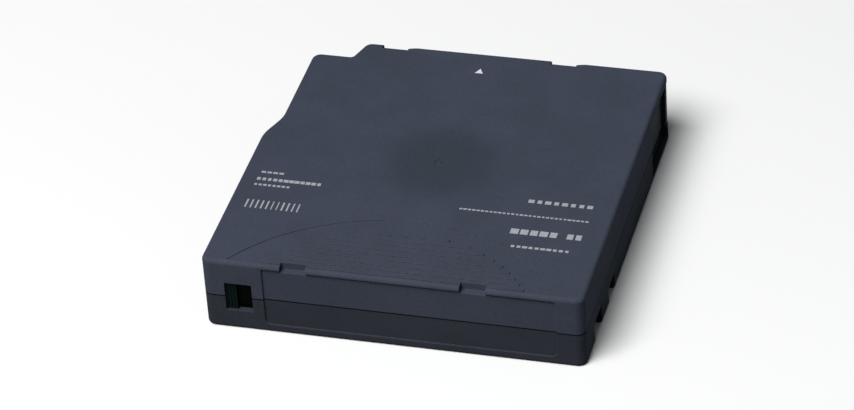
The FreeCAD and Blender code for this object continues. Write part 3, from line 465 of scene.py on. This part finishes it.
@dataclass(frozen=True)
class SolderMask(Finish):
    """A circuit board's green lacquer over woven glass."""

    weave: float = 0.35 * MM

    def sockets(self, graph: Graph) -> dict[str, Any]:
        """The weave shows faintly through the lacquer."""
        place = graph.place()
        checks = graph.node(
            "ShaderNodeTexChecker", None, {"Vector": place, "Scale": 1 / self.weave}, "Fac")
        clouds = graph.noise(place, 1.8 * MM)
        return {
            "Base Color": graph.mix(
                checks * 0.4 + clouds * 0.3, self.colour, shade(self.colour, 1.35)),
            "Roughness": self.roughness + clouds * 0.08,
            "Normal": graph.bump(checks, 0.004 * MM, 0.4),
        }


@dataclass(frozen=True)
class Ink(Finish):
    """Pad-printed ink: thin, slightly broken where it lies on the grain."""

    ground: Colour = (0.055, 0.066, 0.090)
    cover: float = 0.9

    def sockets(self, graph: Graph) -> dict[str, Any]:
        """The ink thins out in the pits of the grain."""
        place = graph.place()
        grain = graph.noise(place, 0.2 * MM, 3.0)
        held = grain.fade(0.25, 0.45) * self.cover
        return {
            "Base Color": graph.mix(held, self.ground, self.colour),
            "Roughness": self.roughness + (grain - 0.5) * 0.1,
            "Normal": graph.bump(grain, 0.004 * MM, 0.5),
        }


@dataclass(frozen=True)
class Paper(Finish):
    """The studio's floor: white to the eye, and a quiet grey to everything that it lights."""

    bounce: float = 0.05

    def sockets(self, graph: Graph) -> dict[str, Any]:
        """White where the eye or a reflection meets it."""
        path = graph.node("ShaderNodeLightPath", output="Is Camera Ray")
        seen = path.math("MAXIMUM", path, path.output("Is Glossy Ray"))
        seen = seen.math("MAXIMUM", seen, path.output("Is Transmission Ray"))
        fibre = graph.noise(graph.place(), 2 * MM, 3.0)
        return {
            "Base Color": graph.mix(seen, (self.bounce,) * 3, self.colour),
            "Roughness": self.roughness,
            "Specular IOR Level": 0.0,
            "Normal": graph.bump(fibre, 0.01 * MM, 0.1),
        }


COVER = GreyPatchPlastic("cover plastic", (0.055, 0.065, 0.093), 0.80, gloss=0.08)
# The lower shell: its colour is darker than the cover's, painted shade for light falling off
# towards the floor. Above z = 10.04 mm, its rim in the seam, it is darkened almost to black, a
# painted shadow line.
BASE_PAINTED_SHADE = ShadePaintedPlastic(
    "base plastic with painted shade", (0.037, 0.042, 0.055), 0.80, gloss=0.08,
    axis="Z", line=10.04 * MM, soft_edge=0.06 * MM)
DOOR = MouldedPlastic("door plastic", (0.010, 0.017, 0.021), 0.70, gloss=0.1)
# The slider right of x = -42.2 mm, its plate seen deep in the write-protect window, is darkened
# almost to black: painted shade.
KNOB_PAINTED_SHADE = ShadePaintedPlastic(
    "slider plastic with painted shade", (0.004, 0.013, 0.012), 0.70, grain=0.15 * MM, wear=0.1, gloss=0.03,
    line=-42.2 * MM)
HUB = MouldedPlastic("hub plastic", (0.24, 0.25, 0.26), 0.40, grain=0.30 * MM, depth=0.004 * MM)
BRAKE = MouldedPlastic("brake plastic", (0.030, 0.030, 0.033), 0.42)
RELEASE = MouldedPlastic("release plastic", (0.60, 0.60, 0.55), 0.40)
EPOXY = MouldedPlastic("chip epoxy", (0.020, 0.020, 0.021), 0.55, grain=0.08 * MM)
PLATE = Metal(
    "magnet plate steel", (0.56, 0.56, 0.55), 0.30, lay=Lay.ROUND_THE_AXIS, mark=0.12 * MM)
PIN = Metal("pin steel", (0.60, 0.60, 0.59), 0.22, lay=Lay.NONE)
SPRING = Metal("spring steel", (0.48, 0.48, 0.47), 0.30, lay=Lay.NONE, mark=0.03 * MM)
SCREW = Metal("screw steel", (0.38, 0.38, 0.39), 0.34, lay=Lay.NONE)
FILM = WoundFilm("tape film", (0.030, 0.024, 0.022), 0.30)
BOARD = SolderMask("board lacquer", (0.020, 0.13, 0.05), 0.28)
PALE_INK = Ink("pale ink", (0.42, 0.44, 0.48), 0.6)
WHITE_INK = Ink("white ink", (0.80, 0.82, 0.84), 0.55, cover=0.97)
FLOOR = Paper("studio paper", (0.99, 0.99, 0.99), 0.9)


# --- meshes ---------------------------------------------------------------------
def new_piece(name: str, mesh: bpy.types.Mesh) -> bpy.types.Object:
    """Put a mesh into the scene as a piece at the origin.

    Args:
        name: the piece's name.
        mesh: its mesh, already in place.

    Returns:
        The new object.
    """
    piece = bpy.data.objects.new(name, mesh)
    bpy.context.scene.collection.objects.link(piece)
    return piece


def plate_mesh(
    name: str,
    outline: Sequence[tuple[float, float]],
    base: float,
    top: float,
) -> bpy.types.Mesh:
    """A flat plate with straight sides, from its outline seen from above.

    Args:
        name: the mesh's name.
        outline: closed outline of (x, y) points, counter-clockwise.
        base: the plate's underside.
        top: the plate's upper face.

    Returns:
        The mesh.
    """
    bm = bmesh.new()
    low = [bm.verts.new((x, y, base)) for x, y in outline]
    high = [bm.verts.new((x, y, top)) for x, y in outline]
    bm.faces.new(high)
    bm.faces.new(low[::-1])
    for i in range(len(outline)):
        j = (i + 1) % len(outline)
        bm.faces.new((low[i], low[j], high[j], high[i]))
    mesh = bpy.data.meshes.new(name)
    bm.to_mesh(mesh)
    bm.free()
    return mesh


# --- shapes that a geometry tree makes --------------------------------------------
@dataclass
class Coil:
    """A compression spring with a closed turn at each end, wound by a geometry tree."""

    name: str
    radius: float
    wire: float
    turns: int
    length: float
    steps: int = 40
    sides: int = 10

    def tree(self) -> bpy.types.NodeTree:
        """The tree that winds the wire, with its sizes as named inputs."""
        tree = bpy.data.node_groups.new(self.name + " winding", "GeometryNodeTree")
        face = tree.interface
        face.new_socket("Geometry", in_out="OUTPUT", socket_type="NodeSocketGeometry")
        for label in ("Radius", "Wire", "Turns", "Length"):
            face.new_socket(label, in_out="INPUT", socket_type="NodeSocketFloat")
        graph = Graph(tree)
        radius = graph.node("NodeGroupInput", output="Radius")
        wire, turns, length = (radius.output(n) for n in ("Wire", "Turns", "Length"))
        count = self.steps * (self.turns + 2) + 1
        ends = {"Start": (0, 0, 0), "End": (0, 0, 1)}
        line = graph.node("GeometryNodeCurvePrimitiveLine", None, ends)
        line = graph.node("GeometryNodeResampleCurve", None, {"Curve": line, "Count": count})
        share = graph.node("GeometryNodeSplineParameter", output="Factor")
        turn = share * (turns + 2.0)
        angle = turn * math.tau
        rise = wire + 2.0 * wire * turn.clamped()
        rise = rise + (length - 6.0 * wire) * ((turn - 1.0) / turns).clamped()
        rise = rise + 2.0 * wire * (turn - 1.0 - turns).clamped()
        across = {
            "X": radius * angle.math("COSINE", angle),
            "Y": radius * angle.math("SINE", angle),
            "Z": rise,
        }
        point = graph.node("ShaderNodeCombineXYZ", None, across)
        path = graph.node("GeometryNodeSetPosition", None, {"Geometry": line, "Position": point})
        ring = graph.node(
            "GeometryNodeCurvePrimitiveCircle", None, {"Resolution": self.sides, "Radius": wire})
        swept = graph.node("GeometryNodeCurveToMesh", None,
                           {"Curve": path, "Profile Curve": ring, "Fill Caps": True})
        smooth = graph.node("GeometryNodeSetShadeSmooth", None, {"Geometry": swept})
        solid = graph.node("GeometryNodeRealizeInstances", None, {"Geometry": smooth})
        dressed = graph.node(
            "GeometryNodeSetMaterial", None, {"Geometry": solid, "Material": SPRING.material()})
        graph.node("NodeGroupOutput", None, {"Geometry": dressed})
        return tree

    def mesh(self, stand: Matrix) -> bpy.types.Mesh:
        """Wind the spring and put it in place.

        Args:
            stand: turns the spring from +Z and moves it to its seat.

        Returns:
            The finished mesh.
        """
        values = {
            "Radius": self.radius,
            "Wire": self.wire,
            "Turns": float(self.turns),
            "Length": self.length,
        }
        mesh = grown(self.tree(), values, self.name)
        mesh.transform(stand)
        return mesh


def grown(tree: bpy.types.NodeTree, values: dict[str, Any], name: str) -> bpy.types.Mesh:
    """Run a geometry tree once and keep its result as a plain mesh.

    Args:
        tree: the tree to run.
        values: its inputs, by name.
        name: the mesh's name.

    Returns:
        The mesh.
    """
    holder = new_piece(name + " holder", bpy.data.meshes.new(name + " seed"))
    modifier = holder.modifiers.new("shape", "NODES")
    modifier.node_group = tree
    for item in tree.interface.items_tree:
        if item.item_type == "SOCKET" and item.in_out == "INPUT" and item.name in values:
            modifier[item.identifier] = values[item.name]
    bpy.context.view_layer.update()
    graph = bpy.context.evaluated_depsgraph_get()
    mesh = bpy.data.meshes.new_from_object(holder.evaluated_get(graph))
    mesh.name = name
    holder.modifiers.clear()
    bpy.data.objects.remove(holder)
    return mesh


def travel(joint: str) -> float:
    """How far a sliding joint moves.

    Args:
        joint: its name.

    Returns:
        The longer of its two travels.
    """
    found = next(j for j in frame["joints"] if j["name"] == joint)
    return max(abs(end) for end in found["range_m"])


# --- sub-assemblies -----------------------------------------------------------------
@dataclass
class Case:
    """The two shells, the door, the write-protect slider and the screws."""

    def dress(self) -> None:
        """Give every piece of the case its finish."""
        finishes = {
            "upper_shell": COVER,
            "lower_shell": BASE_PAINTED_SHADE,
            "access_door": DOOR,
            "write_protect_slider": KNOB_PAINTED_SHADE,
            "case_screws": SCREW,
        }
        for node, finish in finishes.items():
            finish.on(frame["nodes"][node])
            log.info("%s: %s", node, finish.name)


@dataclass(frozen=True)
class Row:
    """A printed row of bars: its ends from a side of the case, its place from the label end."""

    start: float
    end: float
    y: float
    height: float
    count: int
    fill: tuple[float, float] = (0.55, 0.92)
    from_right: bool = False

    def span(self, low: Vector, high: Vector) -> tuple[float, float]:
        """The row's left and right ends.

        Args:
            low: the case's lowest corner.
            high: its highest corner.

        Returns:
            Two places along X.
        """
        if self.from_right:
            return high.x - self.end, high.x - self.start
        return low.x + self.start, low.x + self.end


LEFT_ROWS = (
    Row(4.8 * MM, 11.4 * MM, 40.3 * MM, 0.8 * MM, 4, (0.5, 0.8)),
    Row(4.4 * MM, 22.6 * MM, 37.2 * MM, 1.2 * MM, 12),
    Row(4.4 * MM, 14.6 * MM, 34.6 * MM, 0.8 * MM, 8, (0.5, 0.85)),
    Row(4.4 * MM, 20.0 * MM, 26.0 * MM, 3.6 * MM, 11, (0.16, 0.34)),
)
RIGHT_ROWS = (
    Row(6.0 * MM, 24.0 * MM, 39.8 * MM, 1.4 * MM, 8, (0.5, 0.8), from_right=True),
    Row(6.0 * MM, 41.0 * MM, 33.4 * MM, 0.6 * MM, 30, (0.5, 0.9), from_right=True),
    Row(12.5 * MM, 25.5 * MM, 26.2 * MM, 2.2 * MM, 5, (0.7, 0.92), from_right=True),
    Row(6.0 * MM, 10.5 * MM, 26.2 * MM, 2.2 * MM, 2, (0.6, 0.8), from_right=True),
    Row(8.0 * MM, 24.0 * MM, 19.8 * MM, 0.9 * MM, 10, (0.5, 0.85), from_right=True),
)


@dataclass
class Print:
    """Pale marks on the top face: an arrow at the insertion end and rows of plain bars."""

    thickness: float = 0.02 * MM
    sink: float = 0.01 * MM
    arrow_width: float = 2.3 * MM
    arrow_length: float = 2.2 * MM
    arrow_from_end: float = 7.7 * MM

    def build(self) -> None:
        """Make the arrow and the rows and let them ride on the case."""
        low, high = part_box("upper_shell")
        tip = high.y - self.arrow_from_end
        half = self.arrow_width / 2
        outline = [(-half, tip - self.arrow_length), (half, tip - self.arrow_length), (0.0, tip)]
        base = high.z - self.sink
        arrow = plate_mesh("arrow", outline, base, base + self.thickness)
        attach(WHITE_INK.on(new_piece("arrow", arrow)), CASE_BODY)
        tree = self._bars()
        for number, row in enumerate(LEFT_ROWS + RIGHT_ROWS):
            left, right = row.span(low, high)
            pitch = (right - left) / row.count
            values = {"Pitch": pitch, "Count": row.count, "Height": row.height,
                      "Narrowest": row.fill[0], "Widest": row.fill[1], "Seed": number}
            name = f"printed_row_{number + 1}"
            mesh = grown(tree, values, name)
            middle = (left + pitch / 2, low.y + row.y, base + self.thickness / 2)
            mesh.transform(Matrix.Translation(middle))
            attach(new_piece(name, mesh), CASE_BODY)
            log.info("%s: %d bars", name, row.count)

    def _bars(self) -> bpy.types.NodeTree:
        """The tree that lays one row of bars along X, with its sizes as named inputs."""
        tree = bpy.data.node_groups.new("row of bars", "GeometryNodeTree")
        face = tree.interface
        face.new_socket("Geometry", in_out="OUTPUT", socket_type="NodeSocketGeometry")
        for label in ("Pitch", "Height", "Narrowest", "Widest"):
            face.new_socket(label, in_out="INPUT", socket_type="NodeSocketFloat")
        for label in ("Count", "Seed"):
            face.new_socket(label, in_out="INPUT", socket_type="NodeSocketInt")
        graph = Graph(tree)
        pitch = graph.node("NodeGroupInput", output="Pitch")
        height, narrow, wide, count, seed = (
            pitch.output(n) for n in ("Height", "Narrowest", "Widest", "Count", "Seed"))
        step = graph.node("ShaderNodeCombineXYZ", None, {"X": pitch})
        places = graph.node(
            "GeometryNodeMeshLine", {"mode": "OFFSET"}, {"Count": count, "Offset": step})
        width = graph.node(
            "FunctionNodeRandomValue", None, {2: narrow, 3: wide, "Seed": seed}, output=1)
        size = graph.node(
            "ShaderNodeCombineXYZ", None, {"X": width * pitch, "Y": height, "Z": self.thickness})
        bar = graph.node("GeometryNodeMeshCube", None, {"Size": (1, 1, 1)})
        bars = graph.node(
            "GeometryNodeInstanceOnPoints", None,
            {"Points": places, "Instance": bar, "Scale": size})
        solid = graph.node("GeometryNodeRealizeInstances", None, {"Geometry": bars})
        inked = graph.node(
            "GeometryNodeSetMaterial", None,
            {"Geometry": solid, "Material": PALE_INK.material()})
        graph.node("NodeGroupOutput", None, {"Geometry": inked})
        return tree


@dataclass
class Reel:
    """Hub, flanges, steel plate and tape."""

    def dress(self) -> None:
        """Give every piece of the reel its finish."""
        finishes = {
            "reel_hub": HUB,
            "upper_flange": HUB,
            "reel_plate": PLATE,
            "tape_pack": FILM,
            "tape_leader": FILM,
            "tape_clamp": BRAKE,
            "leader_pin": PIN,
            "lower_pin_spring": SPRING,
            "upper_pin_spring": SPRING,
        }
        for node, finish in finishes.items():
            finish.on(frame["nodes"][node])
            log.info("%s: %s", node, finish.name)


@dataclass
class Brake:
    """The brake, its spring and the release spider."""

    wire: float = 0.4 * MM
    turns: int = 4

    def dress(self) -> None:
        """Finish the brake and wind its spring."""
        BRAKE.on(frame["nodes"]["brake_button"])
        RELEASE.on(frame["nodes"]["release_spider"])
        low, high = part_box("brake_spring")
        _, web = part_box("brake_button")
        radius = (high.x - low.x) / 2 - self.wire
        length = high.z - low.z + 2 * (1 - math.sin(math.radians(60))) * self.wire
        spring = Coil("brake_coil", radius, self.wire, self.turns, length)
        centre = (low + high) / 2
        seat = Matrix.Translation((centre.x, centre.y, centre.z - length / 2))
        piece = new_piece("brake_coil", spring.mesh(seat))
        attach(piece, CASE_BODY)
        keep = 1 - travel("brake_lift") / (high.z - low.z)
        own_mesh(piece)
        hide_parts("brake_spring")
        log.info("brake_coil: %d turns", self.turns)


@dataclass
class DoorSpring:
    """The long thin spring in the side channel."""

    wire: float = 0.11 * MM
    turns: int = 22

    def dress(self) -> None:
        """Wind the spring along the channel."""
        low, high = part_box("door_spring")
        radius = (high.x - low.x) / 2 - self.wire
        length = high.y - low.y + 2 * (1 - math.sin(math.radians(60))) * self.wire
        spring = Coil("door_coil", radius, self.wire, self.turns, length, steps=24, sides=8)
        centre = (low + high) / 2
        turn = Matrix.Rotation(math.radians(-90), 4, "X")
        seat = Matrix.Translation((centre.x, centre.y - length / 2, centre.z)) @ turn
        piece = new_piece("door_coil", spring.mesh(seat))
        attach(piece, CASE_BODY)
        keep = 1 - travel("door_slide") / (high.y - low.y)
        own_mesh(piece)
        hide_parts("door_spring")
        log.info("door_coil: %d turns", self.turns)


@dataclass
class Memory:
    """The cartridge memory's board and chip."""

    def dress(self) -> None:
        """Give the board and the chip their finishes."""
        BOARD.on(frame["nodes"]["memory_board"])
        EPOXY.on(frame["nodes"]["memory_chip"])
        log.info("memory: board and chip")


@dataclass
class Lamp:
    """One soft rectangular lamp."""

    name: str
    place: Vector
    width: float
    power: float
    colour: Colour = (1.0, 1.0, 1.0)

    def light(self, target: Vector) -> None:
        """Put the lamp up and aim it.

        Args:
            target: the point it looks at.
        """
        data = bpy.data.lights.new(self.name, "AREA")
        data.shape = "SQUARE"
        data.size = self.width
        data.energy = self.power
        data.color = self.colour
        lamp = bpy.data.objects.new(self.name, data)
        lamp.location = self.place
        lamp.rotation_mode = "QUATERNION"
        lamp.rotation_quaternion = (target - self.place).to_track_quat("-Z", "Y")
        bpy.context.scene.collection.objects.link(lamp)


@dataclass
class Studio:
    """Floor, lamps, world and camera."""

    eye: Vector
    aim: Vector
    roll: float
    lens: float
    ambient: float = 0.07
    clear: float = 0.02 * MM

    def build(self) -> None:
        """Set up everything that isn't part of the cartridge."""
        self._floor()
        self._world()
        for lamp in (
            Lamp("key", Vector((-0.50, -1.08, 1.80)), 1.3, 56.0),
            Lamp("side", Vector((1.2, 0.1, 0.25)), 0.5, 0.5, (0.30, 0.85, 1.0)),
        ):
            lamp.light(self.aim)
        self._camera()
        scene = bpy.context.scene
        scene.view_settings.view_transform = "Standard"

    def _floor(self) -> None:
        """A wide flat floor."""
        half = 6.0
        corners = [(-half, -half), (half, -half), (half, half), (-half, half)]
        mesh = bpy.data.meshes.new("floor")
        mesh.from_pydata([(x, y, -self.clear) for x, y in corners], [], [(0, 1, 2, 3)])
        floor = FLOOR.on(new_piece("floor", mesh))

    def _world(self) -> None:
        """A weak, even light from all round."""
        world = bpy.data.worlds.new("studio")
        world.use_nodes = True
        graph = Graph(world.node_tree)
        back = graph.node(
            "ShaderNodeBackground", None, {"Color": (*WHITE, 1.0), "Strength": self.ambient})
        graph.node("ShaderNodeOutputWorld", None, {"Surface": back})
        bpy.context.scene.world = world

    def _camera(self) -> None:
        """A long lens at the eye, aimed and rolled."""
        data = bpy.data.cameras.new("camera")
        data.lens = self.lens
        data.sensor_width = 36.0
        camera = bpy.data.objects.new("camera", data)
        facing = (self.aim - self.eye).to_track_quat("-Z", "Y").to_matrix().to_4x4()
        roll = Matrix.Rotation(math.radians(self.roll), 4, "Z")
        camera.matrix_world = Matrix.Translation(self.eye) @ facing @ roll
        bpy.context.scene.collection.objects.link(camera)
        bpy.context.scene.camera = camera


def main() -> None:
    """Dress the cartridge and light it."""
    logging.basicConfig(level=logging.INFO, format="%(name)s: %(message)s")
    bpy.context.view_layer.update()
    for part in (Case(), Reel(), Brake(), DoorSpring(), Memory()):
        part.dress()
    Print().build()
    eye = Vector((250.6, -840.0, 642.0)) * MM
    aim = Vector((-2.9, -5.1, 10.75)) * MM
    Studio(eye, aim, -4.0, 170.0).build()


if __name__ == "__main__":
    main()
